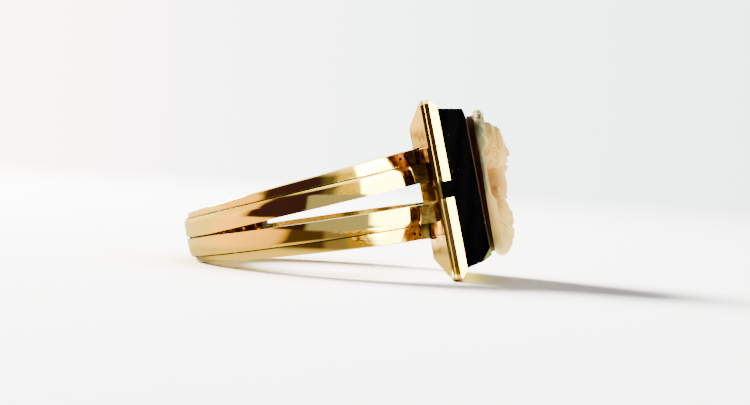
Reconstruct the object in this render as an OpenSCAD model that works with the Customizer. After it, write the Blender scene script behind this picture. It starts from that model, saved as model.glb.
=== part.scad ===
// Cameo ring: a split gold shank, a box setting with a bevelled rim, a black onyx plaque
// and a shell cameo on it. The ring lies on its side, on its shank and the rim of its setting.
// The ring's own frame has X out through the head, Y across the head and Z along the finger.
// The origin is the middle of the finger hole.

/* [Finger hole] */
// Diameter of the finger hole
finger_d = 17; // [15:0.25:19]

/* [Shank] */
// Thickness of the two inner strands, from the finger hole outwards
strand_t = 1.35; // [1.1:0.05:1.8]
// Width of each inner strand
inner_w = 1.4; // [1:0.05:1.8]
// Width of each outer strand that shows beside the inner one, at the sides of the shank
outer_show = 0.84; // [0.6:0.02:1.2]
// Half the gap of the split, at the sides of the shank
split_half = 0.4; // [0.3:0.02:0.6]
// Angle at which each inner strand leaves the middle of the shank
inner_tilt = 2.6; // [2.4:0.2:4]
// Angle at which each outer strand leaves the middle of the shank
outer_tilt = 4.9; // [4.3:0.2:5.9]
// Step down from the face of an inner strand to that of an outer one
outer_step = 0.35; // [0.2:0.05:0.5]
// Slope of the face of each outer strand
outer_slope = 12; // [0:1:20]
// Depth to which an outer strand runs under the inner one, where they are soldered
strand_lap = 0.4; // [0.3:0.05:0.6]
// Bevel on the edges of the strands
strand_bevel = 0.12; // [0.05:0.01:0.2]
// Width of the seam where the two halves meet at the back
seam_w = 0.2; // [0.08:0.02:0.3]
// Depth of the seam on the outside of the shank
seam_depth = 0.3; // [0.1:0.05:0.5]
// Depth of the seam on the finger's side
seam_inside = 0.1; // [0.05:0.01:0.15]
// How far short of the finger hole's front the strands turn towards the setting
bend_short = 0.1; // [0:0.05:0.4]

/* [Setting] */
// Space between the finger hole and the back of the setting
head_gap = 0.1; // [0.05:0.05:0.5]
// Height of the tapered box from its back to the seat of the plaque
box_h = 1.27; // [1:0.05:2]
// How far the back of the box lies inside its rim, on each side
box_in = 1.85; // [1.4:0.05:2]
// Width of the seat that the plaque lies on
seat_w = 1.5; // [0.8:0.05:1.8]
// Thickness of the metal round the plaque
bezel_wall = 0.55; // [0.4:0.05:0.7]
// Thickness of the rim's edge
rim_t = 0.43; // [0.3:0.01:0.6]
// Height of the bezel above the seat
bezel_h = 1.09; // [0.8:0.01:1.4]
// Flat on the lip of the bezel
lip_flat = 0.08; // [0.04:0.01:0.15]
// Radius of the rim's corners
rim_corner = 0.5; // [0.2:0.05:1]
// Width of the notch in the middle of each long side
notch_w = 1.26; // [0.8:0.02:2]
// Depth of the notch, below the face of the bezel
notch_depth = 0.4; // [0.2:0.02:0.45]

/* [Plaque] */
// Length of the back of the plaque
plaque_l = 12.36; // [10:0.1:14]
// Width of the back of the plaque
plaque_w = 10.36; // [8:0.1:12]
// Thickness of the plaque
plaque_t = 3; // [2.4:0.1:4]
// Lean of the plaque's sides
plaque_lean = 11; // [2:1:14]
// Height of the bevel round the front of the plaque
plaque_bevel_h = 0.3; // [0.1:0.05:0.5]
// Width of the bevel round the front of the plaque
plaque_bevel_w = 0.2; // [0.1:0.05:0.4]
// Cut across each front corner of the plaque, along the edges
plaque_corner = 0.7; // [0.3:0.05:1.2]
// Angle between a corner's cut and the line out of the head
corner_lean = 50; // [30:5:60]
// Space between the plaque and the metal, and in each glued joint
fit_gap = 0.03; // [0.02:0.01:0.05]

/* [Cameo] */
// Length of the cameo
cameo_l = 10.8; // [9:0.1:11]
// Width of the cameo across the figure's shoulders
cameo_w = 7.7; // [6.8:0.1:8.6]
// Width of the veil behind the figure's head
veil_w = 6.6; // [5.5:0.1:7]
// Height of the relief above the plaque
relief_h = 2.75; // [2.2:0.05:3.2]
// Thickness of the brown layer of the shell
ground_t = 0.45; // [0.3:0.05:0.8]
// How far the brown layer lies inside the pale one
ground_in = 0.2; // [0.1:0.05:0.4]
// Thickness of the pale layer behind the figure
veil_t = 0.7; // [0.5:0.05:0.9]

/* [Hidden] */
$fn = 64;
eps = 0.01;
// Metal that the hoops have inside the finger hole before it is bored
bore_stock = 0.6;
// How far the straight ends of the strands run into the box and into the hoops
end_sink = 0.05;
end_root = 1.5;
// How far below the seat the straight ends stop
end_short = 0.3;

finger_r = finger_d / 2;
inner_r = finger_r + strand_t;
outer_r = inner_r - outer_step;
blank_r = finger_r - bore_stock;
inner_top = split_half + inner_w;
outer_top = inner_top + outer_show;
outer_w = outer_show + strand_lap;
outer_drop = outer_w * tan(outer_slope);

back_x = finger_r + head_gap;
seat_x = back_x + box_h;
rim_x = seat_x + rim_t;
lip_x = seat_x + bezel_h;
face_x = seat_x + fit_gap + plaque_t;
bend_x = finger_r - bend_short;
rim_half_l = plaque_l / 2 + fit_gap + bezel_wall;
rim_half_w = plaque_w / 2 + fit_gap + bezel_wall;
back_half_w = rim_half_w - box_in;
lean_in = (plaque_t - plaque_bevel_h) * tan(plaque_lean);
plaque_face_l = plaque_l / 2 - lean_in - plaque_bevel_w;
plaque_face_w = plaque_w / 2 - lean_in - plaque_bevel_w;
lip_in = bezel_wall + bezel_h * tan(plaque_lean) - lip_flat;

// The ring rests on the lower back edge of its rim and on the lower edge of its shank
foot_r = outer_r - outer_drop - strand_bevel;
rest_rise = rim_half_l + foot_r * sin(outer_tilt) - outer_top * cos(outer_tilt);
rest_run = seat_x + foot_r * cos(outer_tilt) + outer_top * sin(outer_tilt);
rest_tilt = atan2(rest_rise, rest_run);

// Forms of the figure: across, along, out, half across, half along, half out
HAIR = [0, 0.444, 0.480, 0.470, 0.324, 0.400];
FACE = [0, 0.345, 0.545, 0.312, 0.290, 0.400];
BUST = [0, -0.574, 0.273, 0.896, 0.426, 0.436];

// Small forms on the figure's middle line, in the same order
MIDDLE_FORMS = [
    [0, 0.345, 0.905, 0.036, 0.070, 0.060], // bridge of the nose
    [0, 0.300, 0.930, 0.054, 0.028, 0.070], // tip of the nose
    [0, 0.232, 0.890, 0.074, 0.012, 0.050], // upper lip
    [0, 0.207, 0.885, 0.058, 0.014, 0.048], // lower lip
    [0, 0.130, 0.745, 0.090, 0.050, 0.120], // chin
    [0, -0.090, 0.405, 0.235, 0.350, 0.380] // neck
];

// Forms that the figure has on both sides, in the same order
SIDE_FORMS = [
    [0.115, 0.394, 0.865, 0.054, 0.016, 0.038], // eye
    [0.112, 0.444, 0.855, 0.100, 0.016, 0.045], // brow
    [0.425, 0.420, 0.560, 0.070, 0.100, 0.130], // ear
    [0.240, -0.230, 0.300, 0.240, 0.110, 0.260], // side of the neck
    [0.480, -0.400, 0.290, 0.440, 0.240, 0.310] // shoulder
];

// Hollows that the eyes lie in
EYE_HOLLOW = [0.118, 0.398, 0.950, 0.086, 0.034, 0.080];

// Locks of hair and folds of the dress on both sides. Each follows a form's surface from one
// point to another, with its middle moved out across: across, along, across, along, bow, half breadth
LOCKS = [
    [0.040, 0.740, 0.450, 0.400, 0.110, 0.050],
    [0.030, 0.680, 0.400, 0.300, 0.100, 0.050],
    [0.030, 0.610, 0.330, 0.500, 0.050, 0.045]
];
FOLDS = [
    [0.660, -0.300, 0.020, -0.500, 0.040, 0.055],
    [0.800, -0.440, 0.060, -0.650, 0.050, 0.045],
    [0.800, -0.610, 0.080, -0.790, 0.060, 0.045],
    [0.640, -0.780, 0.080, -0.910, 0.050, 0.045]
];
ridge_steps = 5;

// Waves in the veil's hem
hem_count = 9;
hem_overlap = 1.15;
hem_r = veil_w * PI / 4 / (hem_count - 1) * hem_overlap;
hem_sink = hem_r * 0.35;
veil_y = (cameo_l - veil_w) / 2;
waist_w = veil_w * 0.9;
// Shares of a ridge's breadth and height: at its ends, and along as against across
ridge_end = 0.6;
ridge_along = 0.6;
ridge_rise = 0.045;
// The least height of a form's surface above its middle, squared and as a share
skin_least = 0.02;

// Moves a shape from the ring's own frame to the way the ring lies
module lying() {
    rotate([0, -rest_tilt, 0])
        children();
}

// Turns a shape drawn across (X) and along (Y) the head so that its Z points out of the head
module on_head(out = 0) {
    translate([out, 0, 0])
        rotate([90, 0, 90])
            children();
}

// The children and their mirror image below the middle plane of the shank
module both_halves() {
    children();
    mirror([0, 0, 1])
        children();
}

// A block between two profiles: one runs along the head, the other across it
module mitred(along, across, half_l, half_w) {
    intersection() {
        translate([0, half_w, 0])
            rotate([90, 0, 0])
                linear_extrude(height = 2 * half_w)
                    polygon(along);
        translate([0, 0, -half_l])
            linear_extrude(height = 2 * half_l)
                polygon(across);
    }
}

// A profile with the same edge at both sides: steps are [how far out of the head, half the breadth]
function both_edges(steps) = concat(
    [for (s = steps) [s[0], s[1]]],
    [for (i = [len(steps) - 1:-1:0]) [steps[i][0], -steps[i][1]]]
);

// Section of an inner strand, above the middle plane
module inner_section() {
    polygon([
        [blank_r, split_half],
        [inner_r - strand_bevel, split_half],
        [inner_r, split_half + strand_bevel],
        [inner_r, inner_top - strand_bevel],
        [inner_r - strand_bevel, inner_top],
        [blank_r, inner_top]
    ]);
}

// Section of an outer strand, with its sloping face
module outer_section() {
    polygon([
        [blank_r, outer_top - outer_w],
        [outer_r, outer_top - outer_w],
        [outer_r - outer_drop + strand_bevel * tan(outer_slope), outer_top - strand_bevel],
        [outer_r - outer_drop - strand_bevel, outer_top],
        [blank_r, outer_top]
    ]);
}

// The straight end of a strand, from its bend to the side of the setting
module strand_end(radius, low, high) {
    end_y = sqrt(radius * radius - bend_x * bend_x);
    side_x = back_x + box_h * (end_y - back_half_w) / box_in;
    end_x = min(seat_x - end_short, side_x + end_sink);
    for (side = [-1, 1])
        translate([finger_r - end_root, side > 0 ? back_half_w : -end_y, low])
            cube([end_x - finger_r + end_root, end_y - back_half_w, high - low]);
}

// A strand: a hoop in its own plane, which leans away from the middle plane towards the head
module inner_strand() {
    rotate([0, -inner_tilt, 0]) {
        rotate_extrude()
            inner_section();
        strand_end(inner_r, split_half, inner_top);
    }
}

module outer_strand() {
    rotate([0, -outer_tilt, 0]) {
        rotate_extrude()
            outer_section();
        strand_end(outer_r - outer_drop / 2, outer_top - outer_w, outer_top);
    }
}

// The part of the hoops that the setting takes the place of
module head_space() {
    translate([finger_r / 2, -back_half_w, -rim_half_l])
        cube([finger_r, 2 * back_half_w, 2 * rim_half_l]);
}

// The groove where the two halves of the shank meet at the back
module seam() {
    rotate_extrude()
        polygon([
            [inner_r + eps, seam_w / 2],
            [inner_r - seam_depth, 0],
            [inner_r + eps, -seam_w / 2]
        ]);
    rotate_extrude()
        polygon([
            [finger_r - eps, seam_w / 2],
            [finger_r + seam_inside, 0],
            [finger_r - eps, -seam_w / 2]
        ]);
}

// Profile of the box: back, rim, bevel and lip
function box_steps(half) = [
    [back_x, half - box_in],
    [seat_x, half],
    [rim_x, half],
    [lip_x, half - lip_in],
    [lip_x, half - lip_in - lip_flat - eps]
];

// Profile of the seat's hollow, which follows the plaque's sides
function pocket_steps(half) = [
    [seat_x, half - bezel_wall],
    [lip_x + eps, half - bezel_wall - (bezel_h + eps) * tan(plaque_lean)]
];

module rim_outline() {
    flat_l = rim_half_l - rim_corner;
    flat_w = rim_half_w - rim_corner;
    square([2 * flat_w, 2 * rim_half_l], center = true);
    square([2 * rim_half_w, 2 * flat_l], center = true);
    for (x = [-1, 1])
        for (y = [-1, 1])
            translate([x * flat_w, y * flat_l])
                circle(r = rim_corner);
}

module setting() {
    difference() {
        intersection() {
            mitred(
                both_edges(box_steps(rim_half_l)),
                both_edges(box_steps(rim_half_w)),
                rim_half_l,
                rim_half_w
            );
            on_head(back_x - eps)
                linear_extrude(height = lip_x - back_x + 2 * eps)
                    rim_outline();
        }
        mitred(
            both_edges(pocket_steps(rim_half_l)),
            both_edges(pocket_steps(rim_half_w)),
            rim_half_l,
            rim_half_w
        );
        on_head(back_x - eps)
            linear_extrude(height = box_h + 2 * eps)
                square([
                    2 * (rim_half_w - bezel_wall - seat_w),
                    2 * (rim_half_l - bezel_wall - seat_w)
                ], center = true);
        notches();
    }
}

// A notch in the middle of each long side, with a floor that slopes as the bezel does
module notches() {
    for (side = [-1, 1])
        translate([0, 0, -notch_w / 2])
            linear_extrude(height = notch_w)
                polygon([
                    [rim_x - notch_depth, side * (rim_half_w + eps)],
                    [lip_x - notch_depth, side * (rim_half_w - lip_in)],
                    [lip_x - notch_depth, side * (rim_half_w - lip_in - bezel_wall)],
                    [lip_x + eps, side * (rim_half_w - lip_in - bezel_wall)],
                    [lip_x + eps, side * (rim_half_w + eps)]
                ]);
}

module mounting() {
    color("gold")
        lying() {
            difference() {
                both_halves() {
                    inner_strand();
                    outer_strand();
                }
                head_space();
                seam();
                cylinder(r = finger_r, h = 4 * outer_top, center = true);
            }
            setting();
        }
}

// Profile of the plaque: sides, bevel and face
function plaque_steps(half) = [
    [seat_x + fit_gap, half],
    [face_x - plaque_bevel_h, half - lean_in],
    [face_x, half - lean_in - plaque_bevel_w]
];

// The space outside a plane that cuts a front corner of the plaque
module corner_cut(side_y, side_z) {
    turn = side_z > 0 ? -45 * side_y : -135 * side_y;
    reach = plaque_l;
    translate([
        face_x,
        side_y * (plaque_face_w - plaque_corner / 2),
        side_z * (plaque_face_l - plaque_corner / 2)
    ])
        rotate([turn, 0, 0])
            rotate([0, corner_lean, 0])
                translate([-reach / 2, -reach / 2, 0])
                    cube([reach, reach, reach]);
}

module onyx_plaque() {
    color("black")
        lying()
            difference() {
                mitred(
                    both_edges(plaque_steps(plaque_l / 2)),
                    both_edges(plaque_steps(plaque_w / 2)),
                    plaque_l / 2,
                    plaque_w / 2
                );
                for (side_y = [-1, 1])
                    for (side_z = [-1, 1])
                        corner_cut(side_y, side_z);
            }
}

// The cameo's outline: a round veil above, round shoulders below
module cameo_outline(inset) {
    translate([0, veil_y])
        circle(r = veil_w / 2 - inset);
    translate([0, (cameo_w - cameo_l) / 2])
        circle(r = cameo_w / 2 - inset);
    square([waist_w - 2 * inset, 2 * veil_y], center = true);
}

module cameo_ground() {
    color("sienna")
        lying()
            on_head(face_x + fit_gap)
                linear_extrude(height = ground_t)
                    cameo_outline(ground_in);
}

// The waves along the veil's hem, in its outline
module hem_waves() {
    for (i = [0:hem_count - 1])
        translate([0, veil_y])
            rotate([0, 0, 180 * i / (hem_count - 1)])
                translate([veil_w / 2 - hem_r, 0])
                    circle(r = hem_r);
}

// One rounded form of the figure, given in shares of half the cameo's width and length
// and of the relief's height: where its middle is, then its three half sizes
module form(f, side = 1, facets = 32) {
    translate([side * f[0] * cameo_w / 2, f[1] * cameo_l / 2, f[2] * relief_h])
        scale([f[3] * cameo_w / 2, f[4] * cameo_l / 2, f[5] * relief_h])
            sphere(r = 1, $fn = facets);
}

// How far out a form's surface lies at a point across and along
function skin_out(f, across, along) =
    let (x = (across - f[0]) / f[3], y = (along - f[1]) / f[4])
    f[2] + f[5] * sqrt(max(skin_least, 1 - x * x - y * y));

// The small ball of a ridge, a share t of the way along it
function ridge_ball(f, r, t) =
    let (
        across = r[0] + (r[2] - r[0]) * t + r[4] * sin(180 * t),
        along = r[1] + (r[3] - r[1]) * t,
        half = r[5] * (ridge_end + (1 - ridge_end) * sin(180 * t)),
        out = skin_out(f, across, along)
    )
    [across, along, out, half, half * ridge_along, ridge_rise * half / r[5]];

// A rounded ridge on the surface of a form
module ridge(f, r, side) {
    for (i = [0:ridge_steps - 1])
        hull()
            for (t = [i, i + 1])
                form(ridge_ball(f, r, t / ridge_steps), side, 10);
}

module head() {
    form(HAIR);
    difference() {
        form(FACE);
        for (side = [-1, 1])
            form(EYE_HOLLOW, side, 16);
    }
    for (lock = LOCKS, side = [-1, 1])
        ridge(HAIR, lock, side);
}

module dress() {
    form(BUST);
    for (fold = FOLDS, side = [-1, 1])
        ridge(BUST, fold, side);
}

module cameo_figure() {
    veil_z = ground_t + 2 * fit_gap;
    color("antiquewhite")
        lying()
            on_head(face_x) {
                translate([0, 0, veil_z])
                    linear_extrude(height = veil_t) {
                        cameo_outline(hem_sink);
                        hem_waves();
                    }
                intersection() {
                    translate([0, 0, veil_z + veil_t / 2])
                        linear_extrude(height = relief_h)
                            cameo_outline(hem_sink);
                    union() {
                        head();
                        dress();
                        for (f = MIDDLE_FORMS)
                            form(f, 1, 20);
                        for (f = SIDE_FORMS, side = [-1, 1])
                            form(f, side, 20);
                    }
                }
            }
}

mounting();
onyx_plaque();
cameo_ground();
cameo_figure();
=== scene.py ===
# Cameo ring: its looks, in metres. Z is up and the ring lies on a plain floor, on its shank and
# the rim of its head. X runs from the back of the shank to the head, Y across the head.
import math

import bmesh
import bpy
import numpy as np
from mathutils import Matrix, Vector


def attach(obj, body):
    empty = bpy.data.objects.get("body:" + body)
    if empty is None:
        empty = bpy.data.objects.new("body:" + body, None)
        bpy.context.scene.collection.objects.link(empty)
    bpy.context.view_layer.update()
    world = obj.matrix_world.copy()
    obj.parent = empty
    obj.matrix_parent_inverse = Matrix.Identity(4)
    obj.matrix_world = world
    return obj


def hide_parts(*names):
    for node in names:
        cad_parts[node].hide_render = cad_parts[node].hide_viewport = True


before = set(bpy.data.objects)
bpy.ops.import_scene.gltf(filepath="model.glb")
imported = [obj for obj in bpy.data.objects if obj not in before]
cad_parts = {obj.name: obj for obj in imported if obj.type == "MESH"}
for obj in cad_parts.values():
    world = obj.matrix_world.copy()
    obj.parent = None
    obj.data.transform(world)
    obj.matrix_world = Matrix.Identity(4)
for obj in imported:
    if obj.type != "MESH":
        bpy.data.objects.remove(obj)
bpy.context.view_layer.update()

# Camera
# The photograph looks a little above the plane of the finger hole, from the side of the ring
# and slightly towards its head.
camera_turn = math.radians(3.6)
camera_rise = math.radians(1.787)
camera_roll = math.radians(3.505)
camera_away = 0.130
camera_focus = 1695.85
look_at = Vector((0.004682, 0.0, 0.001161))
photo_width = 750
sensor = 36.0

away = Vector((
    math.sin(camera_turn) * math.cos(camera_rise),
    -math.cos(camera_turn) * math.cos(camera_rise),
    math.sin(camera_rise),
))
right = Vector((math.cos(camera_turn), math.sin(camera_turn), 0.0))
up = away.cross(right)
picture_right = right * math.cos(camera_roll) + up * math.sin(camera_roll)
picture_up = up * math.cos(camera_roll) - right * math.sin(camera_roll)
bpy.ops.object.camera_add(location=look_at + away * camera_away)
camera = bpy.context.object
camera.name = "camera"
camera.rotation_euler = Matrix((picture_right, picture_up, away)).transposed().to_euler()
camera.data.sensor_width = sensor
camera.data.lens = camera_focus * sensor / photo_width
camera.data.clip_start = 0.002
camera.data.clip_end = 20.0
bpy.context.scene.camera = camera


# Floor and light
# A plain white floor with no edge. The room is pale, and darker behind the camera, which the
# polished gold shows as brown and olive patches. One window lights the ring from the left.
def from_hex(text):
    """An sRGB hex colour as the linear colour that the shaders take."""
    parts = [int(text[i:i + 2], 16) / 255 for i in (1, 3, 5)]
    return tuple(c / 12.92 if c <= 0.04045 else ((c + 0.055) / 1.055) ** 2.4 for c in parts) + (1.0,)


def set_inputs(tree, node, inputs):
    """Gives sockets a value, a hex colour, or a link from a node's first output or a (node, output)."""
    for socket, given in inputs.items():
        linked = isinstance(given, tuple) and isinstance(given[0], bpy.types.Node)
        source, output = given if linked else (given, 0)
        if isinstance(source, bpy.types.Node):
            tree.links.new(source.outputs[output], node.inputs[socket])
        else:
            node.inputs[socket].default_value = from_hex(given) if isinstance(given, str) else given


def add_node(tree, kind, inputs=None, **settings):
    """Adds a node with its settings and its inputs."""
    made = tree.nodes.new("ShaderNode" + kind)
    for name, value in settings.items():
        setattr(made, name, value)
    set_inputs(tree, made, inputs or {})
    return made


# A Map Range node with this setting eases in and out
smooth = {"interpolation_type": "SMOOTHSTEP"}


def set_ramp(ramp_node, stops):
    """Sets a colour ramp's stops from (place, colour) pairs; a colour may be an sRGB hex text."""
    ramp = ramp_node.color_ramp
    while len(ramp.elements) > 1:
        ramp.elements.remove(ramp.elements[-1])
    stops = [(place, from_hex(c) if isinstance(c, str) else c) for place, c in stops]
    ramp.elements[0].position, ramp.elements[0].color = stops[0]
    for place, colour in stops[1:]:
        ramp.elements.new(place).color = colour


def new_material(name):
    """An empty material: (material, its tree, its principled shader)."""
    made = bpy.data.materials.new(name)
    made.use_nodes = True
    return made, made.node_tree, made.node_tree.nodes["Principled BSDF"]


floor_z = -0.00410179
bpy.ops.mesh.primitive_circle_add(vertices=128, radius=1.5, fill_type="NGON", location=(0, 0, floor_z))
floor = bpy.context.object
floor.name = "floor"
floor_paint, tree, shader = new_material("white paper sweep")
place = (add_node(tree, "TexCoord"), "Object")
# Painted shadow: the paper's colour is darker and warmer close under the shank, where the ring lies near
# it
sheltered = add_node(tree, "AmbientOcclusion", {"Distance": 0.008}, samples=8)
under_ring = add_node(tree, "MapRange", {"From Min": 0.97, "From Max": 0.60, "Value": (sheltered, "AO")})
floor_parts = add_node(tree, "SeparateXYZ", {0: place})
by_shank = add_node(tree, "MapRange", {
    "From Min": 0.008, "From Max": 0.004, "To Max": 0.85, "Value": (floor_parts, "X")})
painted_shadow_under_shank = add_node(tree, "Math", {0: under_ring, 1: by_shank}, operation="MULTIPLY")
paper_tone = add_node(tree, "Mix", {6: "#f4f3f2", 7: "#b09c76", 0: painted_shadow_under_shank}, data_type="RGBA")
set_inputs(tree, shader, {"Roughness": 0.75, "Specular IOR Level": 0.0, "Base Color": (paper_tone, 2)})
distance = (add_node(tree, "VectorMath", {0: place}, operation="LENGTH"), "Value")
fade = add_node(tree, "MapRange", {"From Min": 0.08, "From Max": 0.45, "Value": distance}, **smooth)
clear = add_node(tree, "BsdfTransparent")
mixed = add_node(tree, "MixShader", {0: fade, 1: shader, 2: clear})
set_inputs(tree, tree.nodes["Material Output"], {"Surface": mixed})
floor.data.materials.append(floor_paint)

room_level = 24.0


def room_ramp(tree, direction, stops):
    """A ramp round the ring. Stops are degrees from the camera's side, positive to the right, a
    colour, and how bright the room is there."""
    parts = add_node(tree, "SeparateXYZ", {0: direction})
    front = add_node(tree, "Math", {1: -1.0, 0: (parts, "Y")}, operation="MULTIPLY")
    turn = add_node(tree, "Math", {0: (parts, "X"), 1: front}, operation="ARCTAN2")
    share = add_node(tree, "MapRange", {"From Min": -math.pi, "From Max": math.pi, "Value": turn})
    ramp = add_node(tree, "ValToRGB", {0: share})
    stops = [((degrees + 180) / 360, tuple(c * level / room_level for c in from_hex(colour)[:3]) + (1.0,))
             for degrees, colour, level in stops]
    set_ramp(ramp, stops)
    return ramp, parts


room = bpy.data.worlds.new("pale room")
bpy.context.scene.world = room
room.use_nodes = True
tree = room.node_tree
tree.nodes.clear()
looking = (add_node(tree, "TexCoord"), "Generated")
walls, parts = room_ramp(tree, looking, (
    (-180, "#fff8b0", 3.6), (-100, "#fff8a0", 3.2), (-84, "#ffd868", 3.0), (-52, "#ffd450", 2.2),
    (-42, "#ffe8c0", 0.2), (-38, "#dc90d8", 0.08), (10, "#dc90d8", 0.07), (18, "#fff2e0", 0.16),
    (27, "#fff2e0", 0.19), (29, "#ffe000", 0.34), (50, "#ffe000", 0.48), (56, "#f4ff9c", 21),
    (108, "#f6ffa8", 23), (122, "#fff8b0", 4.0), (180, "#fff8b0", 3.6),
))
low_walls, _ = room_ramp(tree, looking, (
    (-180, "#fff8b0", 3.6), (-100, "#fff8a0", 3.2), (-80, "#ffcf60", 3.0), (-48, "#ffc738", 2.7),
    (-40, "#dc90d8", 0.08), (0, "#dc90d8", 0.07), (3, "#e2e2f2", 0.74), (54, "#e2e2f2", 0.84),
    (61, "#f4ff9c", 21), (108, "#f6ffa8", 23), (122, "#fff8b0", 4.0), (180, "#fff8b0", 3.6),
))
height = add_node(tree, "MapRange", {"From Min": 0.24, "From Max": 0.27, "Value": (parts, "Z")}, **smooth)
# What lies to the right of the camera is full of small bright and dark things
clutter = add_node(tree, "TexNoise", {"Scale": 110.0, "Detail": 3.0, "Roughness": 0.7, "Vector": looking})
glints = add_node(tree, "MapRange", {
    "From Min": 0.47, "From Max": 0.60, "To Min": 0.3, "To Max": 11.0, "Value": clutter})
cluttered = add_node(tree, "Mix", {0: 1.0, 6: walls, 7: glints}, data_type="RGBA", blend_type="MULTIPLY")
to_right = add_node(tree, "MapRange", {"From Min": 0.34, "From Max": 0.46, "Value": (parts, "X")})
beyond_right = add_node(tree, "MapRange", {"From Min": 0.80, "From Max": 0.74, "Value": (parts, "X")})
there = add_node(tree, "Math", {0: to_right, 1: beyond_right}, operation="MULTIPLY")
high_walls = add_node(tree, "Mix", {0: there, 6: walls, 7: (cluttered, 2)}, data_type="RGBA")
walls_all = add_node(tree, "Mix", {0: height, 6: low_walls, 7: (high_walls, 2)}, data_type="RGBA")
ceiling = add_node(tree, "MapRange", {"From Min": 0.58, "From Max": 0.85, "Value": (parts, "Z")}, **smooth)
everything = add_node(tree, "Mix", {7: "#78786a", 0: ceiling, 6: (walls_all, 2)}, data_type="RGBA")
# The backdrop is brighter and warmer at the left
across = add_node(tree, "MapRange", {"From Min": -0.30, "From Max": 0.18, "Value": (parts, "X")})
paper = add_node(tree, "ValToRGB", {"Fac": across})
set_ramp(paper, [(0.0, (0.98, 0.76, 0.72, 1)), (0.35, (0.62, 0.62, 0.62, 1)), (0.6, (0.47, 0.53, 0.53, 1)),
                 (1.0, (0.40, 0.43, 0.42, 1))])
backdrop = add_node(tree, "Background", {"Strength": 10.0, "Color": paper})
reflected = add_node(tree, "Background", {"Strength": room_level, "Color": (everything, 2)})
soft_fill = add_node(tree, "Background", {"Color": "#e9edf4", "Strength": 0.65})
seen = add_node(tree, "LightPath")
shining = add_node(tree, "MixShader", {0: (seen, "Is Glossy Ray"), 1: soft_fill, 2: reflected})
both = add_node(tree, "MixShader", {0: (seen, "Is Camera Ray"), 1: shining, 2: backdrop})
add_node(tree, "OutputWorld", {0: both})

# Painted reflection: a sheet just above the floor glows, seen only in reflections, and stands for the
# floor as the gold reflects it. The floor in front of the ring lies in the shade of the camera. Only
# reflections show it.
bpy.ops.mesh.primitive_circle_add(vertices=96, radius=0.4, fill_type="NGON",
                                  location=(0, 0, floor_z + 0.0002))
shade = bpy.context.object
shade.name = "glowing_floor_reflection"
reflection_sheet_paint, tree, shader = new_material("painted floor reflection")
tree.nodes.remove(shader)
place = (add_node(tree, "TexCoord"), "Object")
far_tones, parts = room_ramp(tree, place, (
    (-180, "#ffe89c", 2.8), (-74, "#ffe08c", 3.2), (-56, "#ffc738", 4.0), (-45, "#dc90d8", 0.08),
    (-2, "#dc90d8", 0.07), (2, "#e2e2ee", 0.74), (56, "#e2e2ee", 0.84), (66, "#f4ff9c", 18),
    (114, "#f4ff9c", 18), (130, "#ffe89c", 3.0),
))
near_tones, _ = room_ramp(tree, place, (
    (-180, "#ffe89c", 2.4), (-78, "#ffe89c", 2.5), (-60, "#ffc738", 3.6), (-18, "#ffc738", 2.2),
    (-10, "#ffd090", 0.10), (12, "#ffd090", 0.09), (15, "#d8c8b0", 0.45), (27, "#d8c8b0", 0.5),
    (30, "#ffd400", 0.6), (46, "#ffd400", 0.8), (52, "#f4ff9c", 18), (114, "#f4ff9c", 12),
    (130, "#ffe89c", 2.4),
))
distance = (add_node(tree, "VectorMath", {0: place}, operation="LENGTH"), "Value")
beyond = add_node(tree, "MapRange", {"From Min": 0.030, "From Max": 0.038, "Value": distance}, **smooth)
# Painted glints: to the right of the head and in front of it, the sheet's glow is broken into small bright
# and dark spots
clutter = add_node(tree, "TexNoise", {"Scale": 700.0, "Detail": 4.0, "Roughness": 0.7, "Vector": place})
glints = add_node(tree, "MapRange", {
    "From Min": 0.47, "From Max": 0.62, "To Min": 0.3, "To Max": 6.0, "Value": clutter})
to_right = add_node(tree, "MapRange", {"From Min": 0.0085, "From Max": 0.0100, "Value": (parts, "X")})
in_front = add_node(tree, "MapRange", {"From Min": -0.010, "From Max": -0.013, "Value": (parts, "Y")})
there = add_node(tree, "Math", {0: to_right, 1: in_front}, operation="MULTIPLY")
cluttered = add_node(tree, "Mix", {
    0: there, 6: near_tones, 7: glints}, data_type="RGBA", blend_type="MULTIPLY")
# Painted shade: inside the finger hole the sheet glows darker, as the ring shades the floor there as well
within = add_node(tree, "MapRange", {"From Min": 0.0130, "From Max": 0.0110, "Value": distance}, **smooth)
painted_hole_shade = tuple(c * 1.7 / room_level for c in from_hex("#ffe8a0")[:3]) + (1.0,)
shaded = add_node(tree, "Mix", {7: painted_hole_shade, 0: within, 6: (cluttered, 2)}, data_type="RGBA")
tones = add_node(tree, "Mix", {0: beyond, 6: (shaded, 2), 7: far_tones}, data_type="RGBA")
glow = add_node(tree, "Emission", {"Strength": room_level, "Color": (tones, 2)})
clear = add_node(tree, "BsdfTransparent")
near = add_node(tree, "MapRange", {"From Min": 0.001, "From Max": 0.004, "Value": distance}, **smooth)
mixed = add_node(tree, "MixShader", {0: near, 1: clear, 2: glow})
set_inputs(tree, tree.nodes["Material Output"], {"Surface": mixed})
shade.data.materials.append(reflection_sheet_paint)
for ray in ("camera", "diffuse", "transmission", "volume_scatter", "shadow"):
    setattr(shade, "visible_" + ray, False)

window_place = (-0.33, 0.12, 0.20)
bpy.ops.object.light_add(type="AREA", location=window_place)
window = bpy.context.object
window.name = "window at the left"
window.data.size = 0.17
window.data.energy = 31.0
window.data.color = from_hex("#fffaf6")[:3]
window.rotation_euler = Vector(window_place).to_track_quat("Z", "Y").to_euler()

# Shank
# Four strands of polished 14 carat yellow gold, soldered side by side at the back in two
# halves. Towards the head each strand leans out of the middle plane, and its straight end is
# soldered to the side of the box.
mm = 0.001
rest_tilt = math.radians(14.35547)
finger_r = 8.5
bend_x = 8.4
seam_half = 0.08
crown = 0.03
inner_lean = math.radians(2.6)
outer_lean = math.radians(4.9)


def deselect():
    """Leaves nothing selected."""
    bpy.ops.object.select_all(action="DESELECT")


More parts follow.
